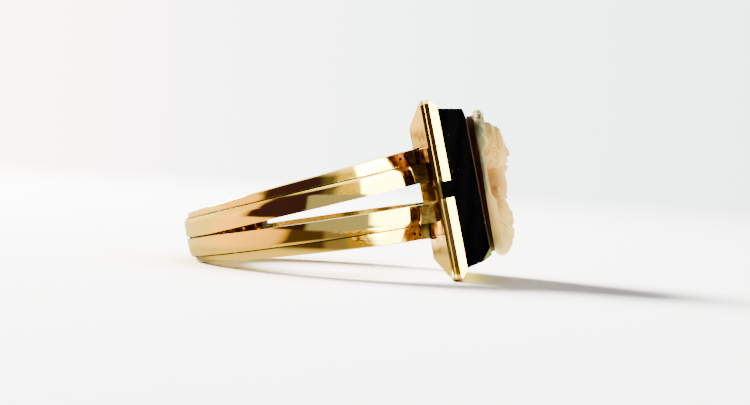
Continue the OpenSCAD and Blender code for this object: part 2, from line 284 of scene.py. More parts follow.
def only(piece):
    """Makes a piece the only one that is selected."""
    deselect()
    piece.select_set(True)
    bpy.context.view_layer.objects.active = piece


def settle(piece):
    """Puts a piece's place, turn and scale into its mesh."""
    only(piece)
    bpy.ops.object.transform_apply(location=True, rotation=True, scale=True)


def lie_down(piece):
    """Turns a piece from the ring's own frame, in millimetres, to the way it lies, in metres."""
    settle(piece)
    piece.rotation_euler = (0, -rest_tilt, 0)
    piece.scale = (mm, mm, mm)
    settle(piece)


def edit(piece, test=None):
    """Opens a piece in edit mode, all selected or only the vertices that pass the test."""
    only(piece)
    bpy.ops.object.mode_set(mode="EDIT")
    bpy.ops.mesh.select_mode(type="VERT")
    bpy.ops.mesh.select_all(action="DESELECT" if test else "SELECT")
    if test:
        mesh = bmesh.from_edit_mesh(piece.data)
        for v in mesh.verts:
            v.select = test(v.co)
        mesh.select_flush(True)
        bmesh.update_edit_mesh(piece.data)


def object_mode():
    bpy.ops.object.mode_set(mode="OBJECT")


def use_modifier(piece, kind, **settings):
    """Adds a modifier with its settings and applies it."""
    only(piece)
    added = piece.modifiers.new(kind.lower(), kind)
    for name, value in settings.items():
        setattr(added, name, value)
    bpy.ops.object.modifier_apply(modifier=added.name)


def soft_edges(piece, width, steps=2, angle=30):
    """Rounds the sharp edges as polishing does, and shades the rest smooth."""
    use_modifier(piece, "BEVEL", width=width, segments=steps, limit_method="ANGLE",
                 angle_limit=math.radians(angle), use_clamp_overlap=True)
    only(piece)
    bpy.ops.object.shade_smooth_by_angle(angle=math.radians(angle + 8))


def block(low, high):
    """A cube between two corners."""
    deselect()
    bpy.ops.mesh.primitive_cube_add(size=1, location=[(a + b) / 2 for a, b in zip(low, high)])
    made = bpy.context.object
    made.scale = [b - a for a, b in zip(low, high)]
    settle(made)
    return made


def join(pieces, name):
    """Joins pieces into one mesh."""
    deselect()
    for piece in pieces:
        piece.select_set(True)
    bpy.context.view_layer.objects.active = pieces[0]
    bpy.ops.object.join()
    pieces[0].name = name
    return pieces[0]


def copy_of(piece):
    """A copy of a piece with its own mesh."""
    only(piece)
    bpy.ops.object.duplicate(linked=False)
    return bpy.context.object


def outward(piece):
    """Turns every face of a piece outwards."""
    edit(piece)
    bpy.ops.mesh.normals_make_consistent(inside=False)
    object_mode()


def strand(low, high, radius, slope, round_edge, lean, end_x):
    """A strand above the middle plane: a crowned bar spun round the finger hole, with straight ends."""
    depth = radius - finger_r
    deselect()
    bpy.ops.mesh.primitive_plane_add(size=1, rotation=(math.pi / 2, 0, 0),
                                     location=(finger_r + depth / 2, 0, (low + high) / 2))
    bar = bpy.context.object
    bar.scale = (depth, high - low, 1)
    settle(bar)
    edit(bar, lambda co: co.x > radius - 0.01)
    bpy.ops.mesh.subdivide(number_cuts=11)
    mesh = bmesh.from_edit_mesh(bar.data)
    for v in mesh.verts:
        if v.co.x > radius - 0.01:
            share = (2 * v.co.z - low - high) / (high - low)
            v.co.x -= crown * share * share + math.tan(slope) * (v.co.z - low)
            v.co.x -= round_edge * max(0, share - 0.55) ** 2
    bmesh.update_edit_mesh(bar.data)
    object_mode()
    start = math.radians(24)
    bar.rotation_euler = (0, 0, -start)
    settle(bar)
    edit(bar)
    bpy.ops.mesh.spin(steps=208, angle=2 * math.pi - 2 * start, center=(0, 0, 0), axis=(0, 0, 1))
    object_mode()
    ends_from_x, ends_from_y = 7.7, 3.6
    end_y = math.sqrt((radius - math.tan(slope) * (high - low) / 2) ** 2 - bend_x ** 2)
    ends = [
        block((ends_from_x, min(side * ends_from_y, side * end_y), low),
              (end_x, max(side * ends_from_y, side * end_y), high))
        for side in (-1, 1)
    ]
    whole = join([bar] + ends, "strand")
    outward(whole)
    whole.rotation_euler = (0, -lean, 0)
    settle(whole)
    edit(whole)
    bpy.ops.mesh.bisect(plane_co=(0, 0, seam_half), plane_no=(0, 0, 1), use_fill=True, clear_inner=True)
    object_mode()
    soft_edges(whole, 0.07, 3, 50)
    return whole


inner_strand = strand(0.40, 1.80, 9.85, math.radians(4.0), 0.30, inner_lean, 9.5)
outer_strand = strand(1.40, 2.64, 9.5, math.radians(12.0), 0.0, outer_lean, 8.9)
upper_half = join([inner_strand, outer_strand], "upper_half")
lower_half = copy_of(upper_half)
lower_half.scale = (1, 1, -1)
settle(lower_half)
outward(lower_half)

shank = join([upper_half, lower_half], "shank")


def flat_faces(piece):
    """Keeps the wide faces flat to the light, and the turn of the light in the rounded edges."""
    use_modifier(piece, "WEIGHTED_NORMAL", mode="FACE_AREA_WITH_ANGLE", weight=60, keep_sharp=True)


def solder_strip(low_r, high_r, low, high, start, span):
    """A strip of solder round the finger hole, rough on the outside, from a start angle for a span."""
    deselect()
    bpy.ops.mesh.primitive_plane_add(size=1, rotation=(math.pi / 2, 0, 0),
                                     location=((low_r + high_r) / 2, 0, (low + high) / 2))
    strip = bpy.context.object
    strip.scale = (high_r - low_r, high - low, 1)
    settle(strip)
    edit(strip, lambda co: co.x > high_r - 0.01)
    bpy.ops.mesh.subdivide(number_cuts=4)
    object_mode()
    strip.rotation_euler = (0, 0, -start)
    settle(strip)
    edit(strip)
    bpy.ops.mesh.spin(steps=int(170 * span), angle=span, center=(0, 0, 0), axis=(0, 0, 1))
    object_mode()
    for v in strip.data.vertices:
        angle = math.atan2(v.co.y, v.co.x)
        if math.hypot(v.co.x, v.co.y) > high_r - 0.05:
            rough = 0.020 * math.sin(23 * angle + 9 * v.co.z) + 0.016 * math.sin(61 * angle + 31 * v.co.z)
            v.co.x *= 1 + rough / high_r
            v.co.y *= 1 + rough / high_r
    outward(strip)
    return strip


# Solder fills the split at the back, a little below the faces of the strands, and runs in a dark
# line along both strands of each half. Lumps of it hold the straight ends to the box.
# Painted shade, in part: the solder in the split is near black, for the shade deep in it
back_fill = solder_strip(8.6, 9.62, -0.30, 0.30, math.radians(107), math.radians(131))
lines = []
for turn in (1, -1):
    line = solder_strip(9.15, 9.57, 1.74, 1.89, math.radians(36), 2 * math.pi - math.radians(72))
    line.rotation_euler = (0, -inner_lean, 0)
    settle(line)
    line.scale = (1, 1, turn)
    settle(line)
    outward(line)
    lines.append(line)
lump_x, lump_y, lump_z = 9.00, 4.50, 3.37
lump_size = (0.30, 0.16, 0.08)
for side_y in (-1, 1):
    for side_z in (-1, 1):
        deselect()
        bpy.ops.mesh.primitive_ico_sphere_add(subdivisions=4, radius=1, location=(0, 0, 0))
        lump = bpy.context.object
        for v in lump.data.vertices:
            swell = math.sin(5.1 * v.co.x + 3.7 * v.co.y + lump_z) * math.cos(6.3 * v.co.z + side_y)
            v.co *= 1 + 0.10 * swell
        lump.scale = lump_size
        lump.location = (lump_x, side_y * lump_y, side_z * lump_z)
        settle(lump)
        lines.append(lump)
solder = join([back_fill] + lines, "solder")
only(solder)
bpy.ops.object.shade_smooth_by_angle(angle=math.radians(50))

# The ways out of the head and up along it, as the ring lies
out_way = (math.cos(rest_tilt), 0, math.sin(rest_tilt))
up_way = (-math.sin(rest_tilt), 0, math.cos(rest_tilt))
# Where the rim of the setting has its groove and its edge
groove_x = 9.935
rim_edge_x, rim_edge_half = 10.25, 0.17
gold, tree, shader = new_material("polished yellow gold")
# Polished 14 carat gold: a warm mirror with a slight haze, fine hair scratches and small handling marks.
# Corners that the polishing wheel doesn't reach have gone brown, and the same darkening is painted shade
# in them.
place = (add_node(tree, "TexCoord"), "Object")
haze = add_node(tree, "TexNoise", {"Scale": 450.0, "Detail": 5.0, "Roughness": 0.6, "Vector": place})
polish = add_node(tree, "MapRange", {
    "From Min": 0.35, "From Max": 0.75, "To Min": 0.03, "To Max": 0.09, "Value": haze})
# Painted shade as well as tarnish: the gold darkens where other surfaces lie close
corner = add_node(tree, "AmbientOcclusion", {"Distance": 0.0008}, samples=8)
corner_grime_and_shade = add_node(tree, "MapRange", {"From Min": 0.80, "From Max": 0.50, "Value": (corner, "AO")}, **smooth)
worn = add_node(tree, "MapRange", {
    "From Min": 0.3, "From Max": 0.7, "To Min": 0.75, "To Max": 1.0, "Value": haze})
tarnish_and_painted_shade = add_node(tree, "Math", {0: corner_grime_and_shade, 1: worn}, operation="MULTIPLY")
# Painted reflection: where the strands meet the box the gold is painted brown in patches, for the dark
# reflections there
out_of_head = (add_node(tree, "VectorMath", {1: out_way, 0: place}, operation="DOT_PRODUCT"), "Value")
along_head = (add_node(tree, "VectorMath", {1: up_way, 0: place}, operation="DOT_PRODUCT"), "Value")
blotches = add_node(tree, "TexNoise", {"Scale": 1300.0, "Detail": 4.0, "Roughness": 0.65, "Vector": place})
off_middle = add_node(tree, "Math", {0: along_head}, operation="ABSOLUTE")
slanted = add_node(tree, "Math", {1: 0.6, 0: off_middle, 2: out_of_head}, operation="MULTIPLY_ADD")
strands_end = add_node(tree, "Math", {1: 0.0008, 0: blotches, 2: slanted}, operation="MULTIPLY_ADD")
from_here = add_node(tree, "MapRange", {
    "From Min": 0.0090, "From Max": 0.0093, "Value": strands_end}, **smooth)
box_end = add_node(tree, "Math", {1: 0.0008, 0: blotches, 2: out_of_head}, operation="MULTIPLY_ADD")
to_rim = add_node(tree, "MapRange", {"From Min": 0.0104, "From Max": 0.0101, "Value": box_end})
edge_near = add_node(tree, "Math", {1: 0.0010, 0: blotches, 2: off_middle}, operation="MULTIPLY_ADD")
by_strands = add_node(tree, "MapRange", {"From Min": 0.0054, "From Max": 0.0050, "Value": edge_near})
patchy = add_node(tree, "MapRange", {
    "From Min": 0.40, "From Max": 0.58, "To Min": 0.45, "To Max": 1.0, "Value": blotches})
patch_area = add_node(tree, "Math", {0: from_here, 1: to_rim}, operation="MULTIPLY")
near_box = add_node(tree, "Math", {0: patch_area, 1: by_strands}, operation="MULTIPLY")
painted_reflection_patches = add_node(tree, "Math", {0: near_box, 1: patchy}, operation="MULTIPLY")
# Painted reflection: the faces that look into the split between the two halves are painted a darker olive
# gold, for the reflections between them
form = add_node(tree, "NewGeometry")
facing = (add_node(tree, "VectorMath", {1: up_way, 0: (form, "Normal")}, operation="DOT_PRODUCT"), "Value")
steep = add_node(tree, "Math", {0: facing}, operation="ABSOLUTE")
inner_face = add_node(tree, "MapRange", {"From Min": 0.6, "From Max": 0.8, "To Max": 0.85, "Value": steep})
in_split = add_node(tree, "MapRange", {"From Min": 0.0013, "From Max": 0.0011, "Value": off_middle})
split_faces_painted = add_node(tree, "Math", {0: inner_face, 1: in_split}, operation="MULTIPLY")
tone_with_painted_patches = add_node(tree, "Mix", {6: "#fdda6a", 7: "#a07420", 0: painted_reflection_patches}, data_type="RGBA")
split_reflection_tone = add_node(tree, "Mix", {7: "#80701c", 0: split_faces_painted, 6: (tone_with_painted_patches, 2)}, data_type="RGBA")
# The finger has worn the inside of the shank
apart = add_node(tree, "SeparateXYZ", {0: place})
from_axis = add_node(tree, "CombineXYZ", {0: out_of_head, 1: (apart, "Y")})
radius = (add_node(tree, "VectorMath", {0: from_axis}, operation="LENGTH"), "Value")
rubbed = add_node(tree, "MapRange", {
    "From Min": 0.00870, "From Max": 0.00855, "To Max": 0.6, "Value": radius})
browned = add_node(tree, "Mix", {7: "#b8a63c", 0: rubbed, 6: (split_reflection_tone, 2)}, data_type="RGBA")
# The groove of the rim is darker
in_groove = add_node(tree, "Math", {1: groove_x * mm, 2: 0.00005, 0: out_of_head}, operation="COMPARE")
dark_groove_mask = add_node(tree, "Math", {1: 0.9, 0: in_groove}, operation="MULTIPLY")
dark_corners_and_groove = add_node(tree, "Math", {0: tarnish_and_painted_shade, 1: dark_groove_mask}, operation="MAXIMUM")
metal_tone = add_node(tree, "Mix", {7: "#2a1408", 0: dark_corners_and_groove, 6: (browned, 2)}, data_type="RGBA")
# Painted reflection: the lower half of the rim's edge is painted dark red, for the dark reflection it
# shows
rim_edge = add_node(tree, "Math", {
    1: rim_edge_x * mm, 2: rim_edge_half * mm, 0: out_of_head}, operation="COMPARE")
low_half = add_node(tree, "MapRange", {
    "From Min": -0.0004, "From Max": -0.0010, "To Max": 0.85, "Value": along_head})
painted_dark_rim_edge = add_node(tree, "Math", {0: rim_edge, 1: low_half}, operation="MULTIPLY")
edge_tone = add_node(tree, "Mix", {7: "#5a1c12", 0: painted_dark_rim_edge, 6: (metal_tone, 2)}, data_type="RGBA")
dull_spots = add_node(tree, "Math", {1: 0.4, 0: tarnish_and_painted_shade, 2: polish}, operation="MULTIPLY_ADD")
dulled = add_node(tree, "Math", {1: 0.15, 0: rubbed, 2: dull_spots}, operation="MULTIPLY_ADD")
stretch = add_node(tree, "Mapping", {
    "Scale": (300.0, 300.0, 5200.0), "Rotation": (0, 0.25, 0), "Vector": place})
hairs = add_node(tree, "TexNoise", {"Scale": 1.0, "Detail": 2.0, "Vector": stretch})
ripple = add_node(tree, "TexNoise", {"Scale": 900.0, "Detail": 3.0, "Vector": place})
relief = add_node(tree, "Math", {1: 0.25, 0: hairs, 2: ripple}, operation="MULTIPLY_ADD")
bump = add_node(tree, "Bump", {"Strength": 0.13, "Distance": 0.00002, "Height": relief})
set_inputs(tree, shader, {
    "Base Color": (edge_tone, 2), "Roughness": dulled, "Metallic": 1.0, "Normal": bump})

solder_and_split_shade, tree, shader = new_material("browned solder with painted shade")
# Solder and old polish in the seams: dark red-brown with a dull shine, and bright gold where it is rubbed.
# Its near-black tones are partly painted shade, for the depth of the split and the seams.
place = (add_node(tree, "TexCoord"), "Object")
grain = add_node(tree, "TexNoise", {"Scale": 2400.0, "Detail": 4.0, "Roughness": 0.6, "Vector": place})
tones = add_node(tree, "ValToRGB", {"Fac": grain})
set_ramp(tones, [(0.36, "#070202"), (0.52, "#1e0a05"), (0.62, "#4c260e"), (0.69, "#f0b850")])
dull = add_node(tree, "MapRange", {
    "From Min": 0.45, "From Max": 0.7, "To Min": 0.5, "To Max": 0.18, "Value": grain})
bump = add_node(tree, "Bump", {"Strength": 0.5, "Distance": 0.00004, "Height": grain})
set_inputs(tree, shader, {"Base Color": tones, "Roughness": dull, "Normal": bump, "Metallic": 1.0})
lie_down(solder)
solder.data.materials.append(solder_and_split_shade)
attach(solder, "root")
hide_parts("mounting")

flat_faces(shank)
lie_down(shank)
shank.data.materials.append(gold)
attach(shank, "root")
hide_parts("mounting")

# Setting
# A box of gold sheet with a bevelled rim and mitred corners. It narrows to the back, where it is
# open, and its lip holds the plaque. A notch is cut in the rim at the middle of each long side.
back_x = 8.6
seat_x = 9.87
lip_x = 10.96
rim_half_l = 6.76
rim_half_w = 5.76
box_in = 1.85
lip_in = 0.682
bezel_wall = 0.55
lip_flat = 0.08


def grow(length, half_w, half_l, new_w, new_l):
    """Extrudes the selected face out of the head and brings its edge to a new size."""
    bpy.ops.mesh.extrude_region_move(TRANSFORM_OT_translate={"value": (length, 0, 0)})
    bpy.ops.transform.resize(value=(1, new_w / half_w, new_l / half_l), orient_type="GLOBAL")


deselect()
bpy.ops.mesh.primitive_plane_add(size=2, rotation=(0, math.pi / 2, 0), location=(back_x, 0, 0))
setting = bpy.context.object
setting.scale = (rim_half_l - box_in, rim_half_w - box_in, 1)
settle(setting)
edit(setting)
# From the back: the box's side, a narrow back bevel, a groove, a bead, the rim's edge and its bevel
x, inward = back_x, box_in
for next_x, next_inward in (
    (9.66, 0.27), (9.79, 0.02), (9.87, 0.0), (9.90, 0.07), (9.97, 0.07), (10.00, 0.0), (10.06, 0.0),
    (10.08, 0.03), (10.42, 0.03), (lip_x, lip_in),
):
    grow(next_x - x, rim_half_w - inward, rim_half_l - inward,
         rim_half_w - next_inward, rim_half_l - next_inward)
    x, inward = next_x, next_inward
bpy.ops.mesh.inset(thickness=lip_flat)
grow(seat_x - lip_x, rim_half_w - lip_in - lip_flat, rim_half_l - lip_in - lip_flat,
     rim_half_w - bezel_wall, rim_half_l - bezel_wall)
object_mode()
outward(setting)


def carve(piece, tool, operation="DIFFERENCE"):
    """Cuts a piece with another solid, which is then removed."""
    use_modifier(piece, "BOOLEAN", operation=operation, solver="EXACT", object=tool)
    bpy.data.objects.remove(tool)


outline = block((back_x - 1, -rim_half_w, -rim_half_l), (lip_x + 1, rim_half_w, rim_half_l))
edit(outline, lambda co: False)
mesh = bmesh.from_edit_mesh(outline.data)
for e in mesh.edges:
    e.select = abs(e.verts[0].co.x - e.verts[1].co.x) > 1
bmesh.update_edit_mesh(outline.data)
bpy.ops.mesh.bevel(offset=0.5, segments=6, affect="EDGES")
object_mode()
carve(setting, outline, "INTERSECT")
open_half_w, open_half_l = 3.71, 4.71
back_opening = block((back_x - 1, -open_half_w, -open_half_l), (seat_x + 0.02, open_half_w, open_half_l))
carve(setting, back_opening)
notch_half, notch_floor_x = 0.63, 9.95
for side in (-1, 1):
    notch = block((9.0, 4.6, -notch_half), (11.6, 5.8, notch_half))
    edit(notch)
    mesh = bmesh.from_edit_mesh(notch.data)
    for v in mesh.verts:
        if v.co.x < 10:
            v.co.x = notch_floor_x + (rim_half_w - v.co.y) * 0.35
    bmesh.update_edit_mesh(notch.data)
    object_mode()
    notch.scale = (1, side, 1)
    settle(notch)
    outward(notch)
    carve(setting, notch)
soft_edges(setting, 0.02, 1, 20)
for face in setting.data.polygons:
    face.use_smooth = min(abs(face.normal.y), abs(face.normal.z)) > 0.15
# Fine beads lie in the groove of the rim, below its notches
bead_r, bead_step, first_bead_z = 0.05, 0.155, -0.85
beads = []
for side_y in (-1, 1):
    for i in range(24):
        deselect()
        place = (groove_x, side_y * (rim_half_w - 0.045), first_bead_z - bead_step * i)
        bpy.ops.mesh.primitive_ico_sphere_add(subdivisions=2, radius=bead_r, location=place)
        beads.append(bpy.context.object)
beads = join(beads, "beads")
only(beads)
bpy.ops.object.shade_smooth_by_angle(angle=math.radians(60))
setting = join([setting, beads], "setting")
lie_down(setting)
setting.data.materials.append(gold)
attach(setting, "root")
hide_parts("mounting")

# Plaque
# A slab of black onyx, sawn, ground and polished, and glued in the box. Its sides lean in. Its
# front edge is bevelled by hand, narrowly at the long sides and the top and wider at the foot.
slab_back = 9.90
face_x = 12.90
slab_half_w = 5.18
slab_half_l = 6.18
lean = math.tan(math.radians(11))

deselect()
bpy.ops.mesh.primitive_plane_add(size=2, rotation=(0, math.pi / 2, 0), location=(slab_back, 0, 0))
plaque = bpy.context.object
plaque.scale = (slab_half_l, slab_half_w, 1)
settle(plaque)
edit(plaque)
front_w = slab_half_w - (face_x - slab_back) * lean
front_l = slab_half_l - (face_x - slab_back) * lean
grow(face_x - slab_back, slab_half_w, slab_half_l, front_w, front_l)
object_mode()
outward(plaque)


def cut_off(piece, a, b, c, towards):
    """Grinds away what lies beyond the plane through three points, on the side that towards names."""
    a, b, c = Vector(a), Vector(b), Vector(c)
    normal = (b - a).cross(c - a).normalized()
    if normal.dot(Vector(towards)) < 0:
        normal = -normal
    edit(piece)
    bpy.ops.mesh.bisect(plane_co=a, plane_no=normal, use_fill=True, clear_outer=True)
    object_mode()


def slab_side(x, half):
    """Half the breadth of the slab at a place between its back and its face."""
    return half - (x - slab_back) * lean


# The bevel is narrow at the sides, shallow at the top and steep at the foot
side_x, top_x, foot_x = face_x - 0.07, face_x - 0.15, face_x - 0.60
for side in (-1, 1):
    side_y = side * slab_side(side_x, slab_half_w)
    edge_y = side * (front_w - 0.05)
    cut_off(plaque, (side_x, side_y, 0), (side_x, side_y, 1), (face_x, edge_y, 0), (1, side, 0))
top_z, foot_z = slab_side(top_x, slab_half_l), slab_side(foot_x, slab_half_l)
cut_off(plaque, (top_x, 0, top_z), (top_x, 1, top_z), (face_x, 0, top_z - 0.75), (1, 0, 1))
cut_off(plaque, (foot_x, 0, -foot_z), (foot_x, 1, -foot_z), (face_x, 0, 0.3 - foot_z), (1, 0, -1))
for side in (-1, 1):
    for end, size in ((1, 0.12), (-1, 0.72)):
        corner = Vector((face_x, side * front_w, end * (front_l - 0.1)))
        cut_off(plaque, corner + Vector((0, -side * size, 0)), corner + Vector((0, 0, -end * size)),
                corner + Vector((-size * 0.9, side * 0.1, end * 0.1)), (1, side, end))
soft_edges(plaque, 0.025, 3, 8)
flat_faces(plaque)

onyx, tree, shader = new_material("polished black onyx")
# Polished onyx: black glass to the eye, with faint bands inside and fine dust on it.
place = (add_node(tree, "TexCoord"), "Object")
bands = add_node(tree, "TexWave", {
    "Scale": 260.0, "Distortion": 3.0, "Detail": 3.0, "Detail Scale": 1.5, "Vector": place},
    bands_direction="X", wave_profile="SIN")
inside = add_node(tree, "ValToRGB", {"Fac": (bands, "Fac")})
set_ramp(inside, [(0.0, "#020202"), (1.0, "#060505")])
specks = add_node(tree, "TexVoronoi", {"Scale": 2600.0, "Vector": place})
clouds = add_node(tree, "TexNoise", {"Scale": 700.0, "Detail": 4.0, "Vector": place})
small = add_node(tree, "MapRange", {"From Min": 0.17, "From Max": 0.08, "Value": specks})
some = add_node(tree, "MapRange", {"From Min": 0.58, "From Max": 0.66, "Value": clouds})
dust = add_node(tree, "Math", {0: small, 1: some}, operation="MULTIPLY")
dusty = add_node(tree, "Mix", {7: "#5c554c", 0: dust, 6: inside}, data_type="RGBA")
wear = add_node(tree, "MapRange", {
    "From Min": 0.4, "From Max": 0.8, "To Min": 0.05, "To Max": 0.16, "Value": clouds})
set_inputs(tree, shader, {
    "Base Color": (dusty, 2), "Roughness": wear, "IOR": 1.54, "Specular IOR Level": 0.08,
    "Specular Tint": "#6a5674"})
lie_down(plaque)
plaque.name = "plaque"
plaque.data.materials.append(onyx)
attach(plaque, "root")
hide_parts("onyx_plaque")

# Brown layer
# The dark layer of a helmet shell, left under the figure as its ground and glued on the plaque. Its
# edge is filed hollow. It is thick behind the head and thins towards the bust.
def veil_half(along):
    """Half the breadth of the cameo at a place along the head: a round veil, then round shoulders."""
    if along >= 2.1:
        return 3.28 * math.sqrt(max(0, 1 - ((along - 2.1) / 3.28) ** 2))
    if along <= -1.55:
        return 3.82 * max(0, 1 - (-(along + 1.55) / 4.12) ** 2.6) ** (1 / 2.6)
    share = (along + 1.55) / 3.65
    share = share * share * (3 - 2 * share)
    return 3.82 + (3.28 - 3.82) * share


def shape_outline(piece, inset, waves):
    """Brings the points of a round sheet to the cameo's outline, with waves along the veil."""
    for v in piece.data.vertices:
        angle = math.atan2(v.co.y, v.co.x)
        low, high = 0.0, 7.0
        for _ in range(30):
            middle = (low + high) / 2
            if middle * abs(math.cos(angle)) > veil_half(middle * math.sin(angle)) or \
                    not -5.67 < middle * math.sin(angle) < 5.38:
                high = middle
            else:
                low = middle
        reach = low - inset
        if math.sin(angle) > -0.2:
            reach += waves * math.sin(9 * angle + 0.7) * min(1, 2 * (math.sin(angle) + 0.2))
        v.co.x, v.co.y = reach * math.cos(angle), reach * math.sin(angle)


def carved_sheet(inset, waves, steps):
    """A sheet with the cameo's outline, raised in steps of (thickness, growth of its edge)."""
    deselect()
    bpy.ops.mesh.primitive_circle_add(vertices=120, radius=1, fill_type="NGON", location=(0, 0, 0))
    sheet = bpy.context.object
    shape_outline(sheet, inset, waves)
    edit(sheet)
    for thick, growth in steps:
        bpy.ops.mesh.extrude_region_move(TRANSFORM_OT_translate={"value": (0, 0, thick)})
        bpy.ops.transform.resize(value=(1 + growth / 3.3, 1 + growth / 5.0, 1), orient_type="GLOBAL")
    object_mode()
    return sheet


def flush(piece, keep_above):
    """Cuts a piece at the plane where the brown and the pale layer meet."""
    low_end, high_end = Vector((0, -5.4, 0.27)), Vector((0, 5.4, 0.55))
    normal = Vector((1, 0, 0)).cross(high_end - low_end).normalized()
    edit(piece)
    bpy.ops.mesh.bisect(plane_co=low_end, plane_no=normal, use_fill=True,
                        clear_inner=keep_above, clear_outer=not keep_above)
    object_mode()


def put_on_plaque(piece):
    """Turns a piece drawn across, along and out of the plaque's face to the way the ring lies."""
    piece.rotation_euler = (math.pi / 2, 0, math.pi / 2)
    piece.location = (face_x, 0, 0)
    lie_down(piece)


brown_layer = carved_sheet(
    0.26, 0.05, ((0.12, -0.04), (0.14, -0.02), (0.14, 0.02), (0.14, 0.05), (0.06, 0.02)))
flush(brown_layer, False)
outward(brown_layer)
soft_edges(brown_layer, 0.03, 2, 50)

brown, tree, shader = new_material("brown shell layer")
# Shell in section: dark red-brown, in fine growth lines, that light enters a little.
place = (add_node(tree, "TexCoord"), "Object")
out_of_plaque = (add_node(tree, "VectorMath", {1: out_way, 0: place}, operation="DOT_PRODUCT"), "Value")
clouds = add_node(tree, "TexNoise", {"Scale": 900.0, "Detail": 4.0, "Vector": place})
layer = add_node(tree, "Math", {1: 0.00012, 0: clouds, 2: out_of_plaque}, operation="MULTIPLY_ADD")
lines = add_node(tree, "MapRange", {"From Min": 0.01292, "From Max": 0.01348, "Value": layer})
tones = add_node(tree, "ValToRGB", {"Fac": lines})
set_ramp(tones, [(0.0, "#160606"), (0.25, "#2c0e0a"), (0.45, "#1c0806"),
                 (0.7, "#34150c"), (0.9, "#4c260f"), (1.0, "#6e4426")])
grain = add_node(tree, "Bump", {"Strength": 0.25, "Distance": 0.00003, "Height": clouds})
set_inputs(tree, shader, {
    "Base Color": tones, "Normal": grain, "Roughness": 0.5, "Specular IOR Level": 0.08,
    "Specular Tint": "#6a4a3c", "IOR": 1.15, "Subsurface Weight": 0.2,
    "Subsurface Radius": (1.0, 0.35, 0.15), "Subsurface Scale": 0.0004})
put_on_plaque(brown_layer)
brown_layer.name = "brown_layer"
brown_layer.data.materials.append(brown)
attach(brown_layer, "root")
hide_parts("cameo_ground")

# Cameo figure
# The pale layer of the same shell, carved in high relief: a bust that faces outwards in front of its
# veil. The face is a plain one of the maker's own, on even proportions. The carver's rotary points
# leave soft hollows, and polishing rounds every edge.
def egg(place, size, turn=0, rings=24):
    """An egg on the cameo: its place and half sizes across, along and out, and its turn in degrees."""
    deselect()
    bpy.ops.mesh.primitive_uv_sphere_add(segments=2 * rings, ring_count=rings, radius=1,
                                         location=place, rotation=(0, 0, math.radians(turn)))
    made = bpy.context.object
    made.scale = size
    settle(made)
    return made


veil = carved_sheet(0.22, 0.07, ((0.30, 0.16), (0.22, 0.08), (0.18, -0.04), (0.08, -0.16)))
veil.location = (0, 0, 0.25)
settle(veil)
pieces = [veil]
# The raised rim of the veil round the top of the head
for i in range(15):
    angle = math.radians(-14 + 208 * i / 14)
    across, along = 2.92 * math.cos(angle), 2.12 + 2.92 * math.sin(angle)
    rise = 0.90 if along > 2.4 else 0.72
    swell = 1 + 0.12 * math.sin(2.3 * i)
    pieces.append(egg((across, along, rise), (0.47 * swell, 0.56, 0.34 * swell), math.degrees(angle), 12))

# An egg that lies off the middle line is there on both sides
for place, size, turn in (
    # Head, hair and neck
    ((0, 2.42, 1.34), (1.74, 1.92, 1.18), 0),
    ((0, 2.10, 1.42), (1.22, 1.78, 1.12), 0),
    ((0.98, 2.95, 1.34), (0.72, 0.95, 0.74), 24),
    ((1.30, 1.75, 1.12), (0.46, 0.85, 0.52), -8),
    ((0, 0.72, 1.72), (0.62, 0.48, 0.62), 0),
    ((0, -0.20, 1.22), (0.84, 1.75, 0.92), 0),
    # Dress
    ((0, -3.42, 0.80), (3.42, 2.44, 1.00), 0),
    ((0, -4.00, 0.90), (2.70, 1.72, 0.86), 0),
    ((1.75, -2.35, 0.86), (1.55, 1.10, 0.88), -22),
    ((1.05, -3.10, 1.05), (1.05, 1.15, 0.90), 10),
    ((0.95, -1.15, 0.92), (0.72, 0.60, 0.66), -30),
):
    pieces.append(egg(place, size, turn))
    if place[0]:
        pieces.append(egg((-place[0], place[1], place[2]), size, -turn))
figure = join(pieces, "carved_figure")

# The carved surface is one closed skin. It is cut flat at the back and smoothed as polishing does.
voxel = 0.054
use_modifier(figure, "REMESH", mode="VOXEL", voxel_size=voxel, use_smooth_shade=True)
use_modifier(figure, "SMOOTH", factor=0.5, iterations=7)


def spot(across, along, at, half):
    """A soft round rise: 1 at its middle, fading over its half sizes."""
    return np.exp(-((across - at[0]) / half[0]) ** 2 - ((along - at[1]) / half[1]) ** 2)


def step_up(value, low, high):
    """0 below low, 1 above high, smooth between."""
    share = np.clip((value - low) / (high - low), 0, 1)
    return share * share * (3 - 2 * share)


def fold(across, along, line, half, high):
    """A fold of cloth along a line: round on top, a crease on both sides, fading at its ends."""
    distance = np.full(len(across), 1e9)
    share = np.zeros(len(across))
    for i in range(len(line) - 1):
        start, step = line[i], (line[i + 1][0] - line[i][0], line[i + 1][1] - line[i][1])
        t = ((across - start[0]) * step[0] + (along - start[1]) * step[1]) / (step[0] ** 2 + step[1] ** 2)
        t = np.clip(t, 0, 1)
        off = np.hypot(across - start[0] - t * step[0], along - start[1] - t * step[1])
        share = np.where(off < distance, (i + t) / (len(line) - 1), share)
        distance = np.minimum(distance, off)
    fade = step_up(share, 0.0, 0.12) * step_up(1 - share, 0.0, 0.18)
    ridge = np.exp(-(distance / half) ** 2)
    crease = np.exp(-((distance - 1.9 * half) / (0.7 * half)) ** 2)
    return high * fade * (ridge - 0.55 * crease)


count = len(figure.data.vertices)
points = np.empty(count * 3)
normals = np.empty(count * 3)
figure.data.vertices.foreach_get("co", points)
figure.data.vertices.foreach_get("normal", normals)
points = points.reshape(-1, 3)
normals = normals.reshape(-1, 3)
x, y, z = points[:, 0].copy(), points[:, 1].copy(), points[:, 2].copy()
side = np.abs(x)
front = step_up(normals[:, 2], 0.0, 0.35)
lifted = step_up(z, 1.0, 1.35)

